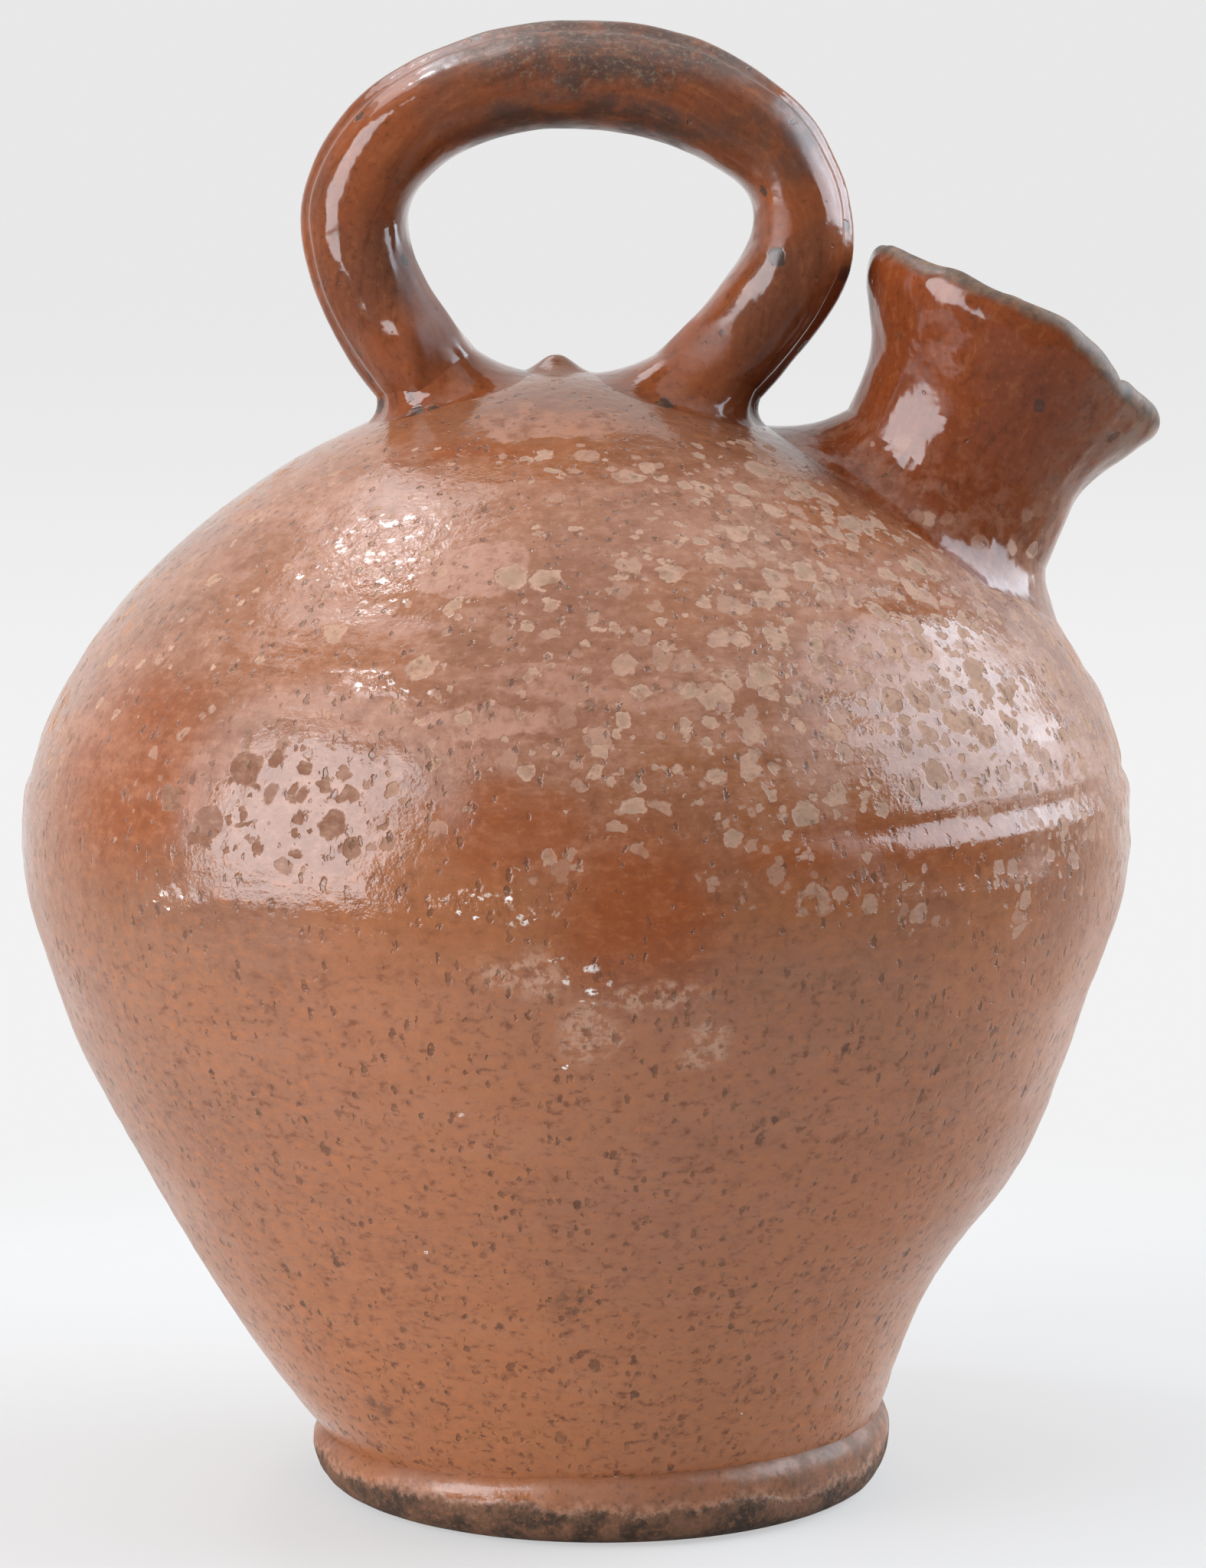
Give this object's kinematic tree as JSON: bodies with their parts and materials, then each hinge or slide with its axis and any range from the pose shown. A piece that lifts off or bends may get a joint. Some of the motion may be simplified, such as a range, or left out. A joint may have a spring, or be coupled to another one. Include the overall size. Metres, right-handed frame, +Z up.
{
  "type": "oil jug",
  "caption": "Closed ovoid oil jug of glazed red-brown earthenware on a rolled foot, with an overhead strap handle and a trumpet spout with a drooped pouring lip.",
  "frame": {"origin": "middle of the flat underside, on the ground", "axes": "+Z up, +X towards the spout, +Y away from the side the picture shows"},
  "size_m": [0.2558, 0.249, 0.33],
  "materials": {
    "glaze": "worn red-brown glaze, glossy above the belly and satin below",
    "smoked_glaze": "glossy red-brown glaze with grey-black smoke marks",
    "spout_glaze": "orange-brown glaze, dull on the rim",
    "bare_clay": "glaze running out over bare, dirty grey-brown clay"
  },
  "bodies": {
    "root": {"lower_body": "glaze", "upper_body": "glaze", "foot_ring": "bare_clay", "closing_button": "glaze", "handle": "smoked_glaze", "handle_luting_left": "smoked_glaze", "handle_luting_right": "smoked_glaze", "spout": "spout_glaze", "spout_luting": "spout_glaze"}
  },
  "joints": []
}
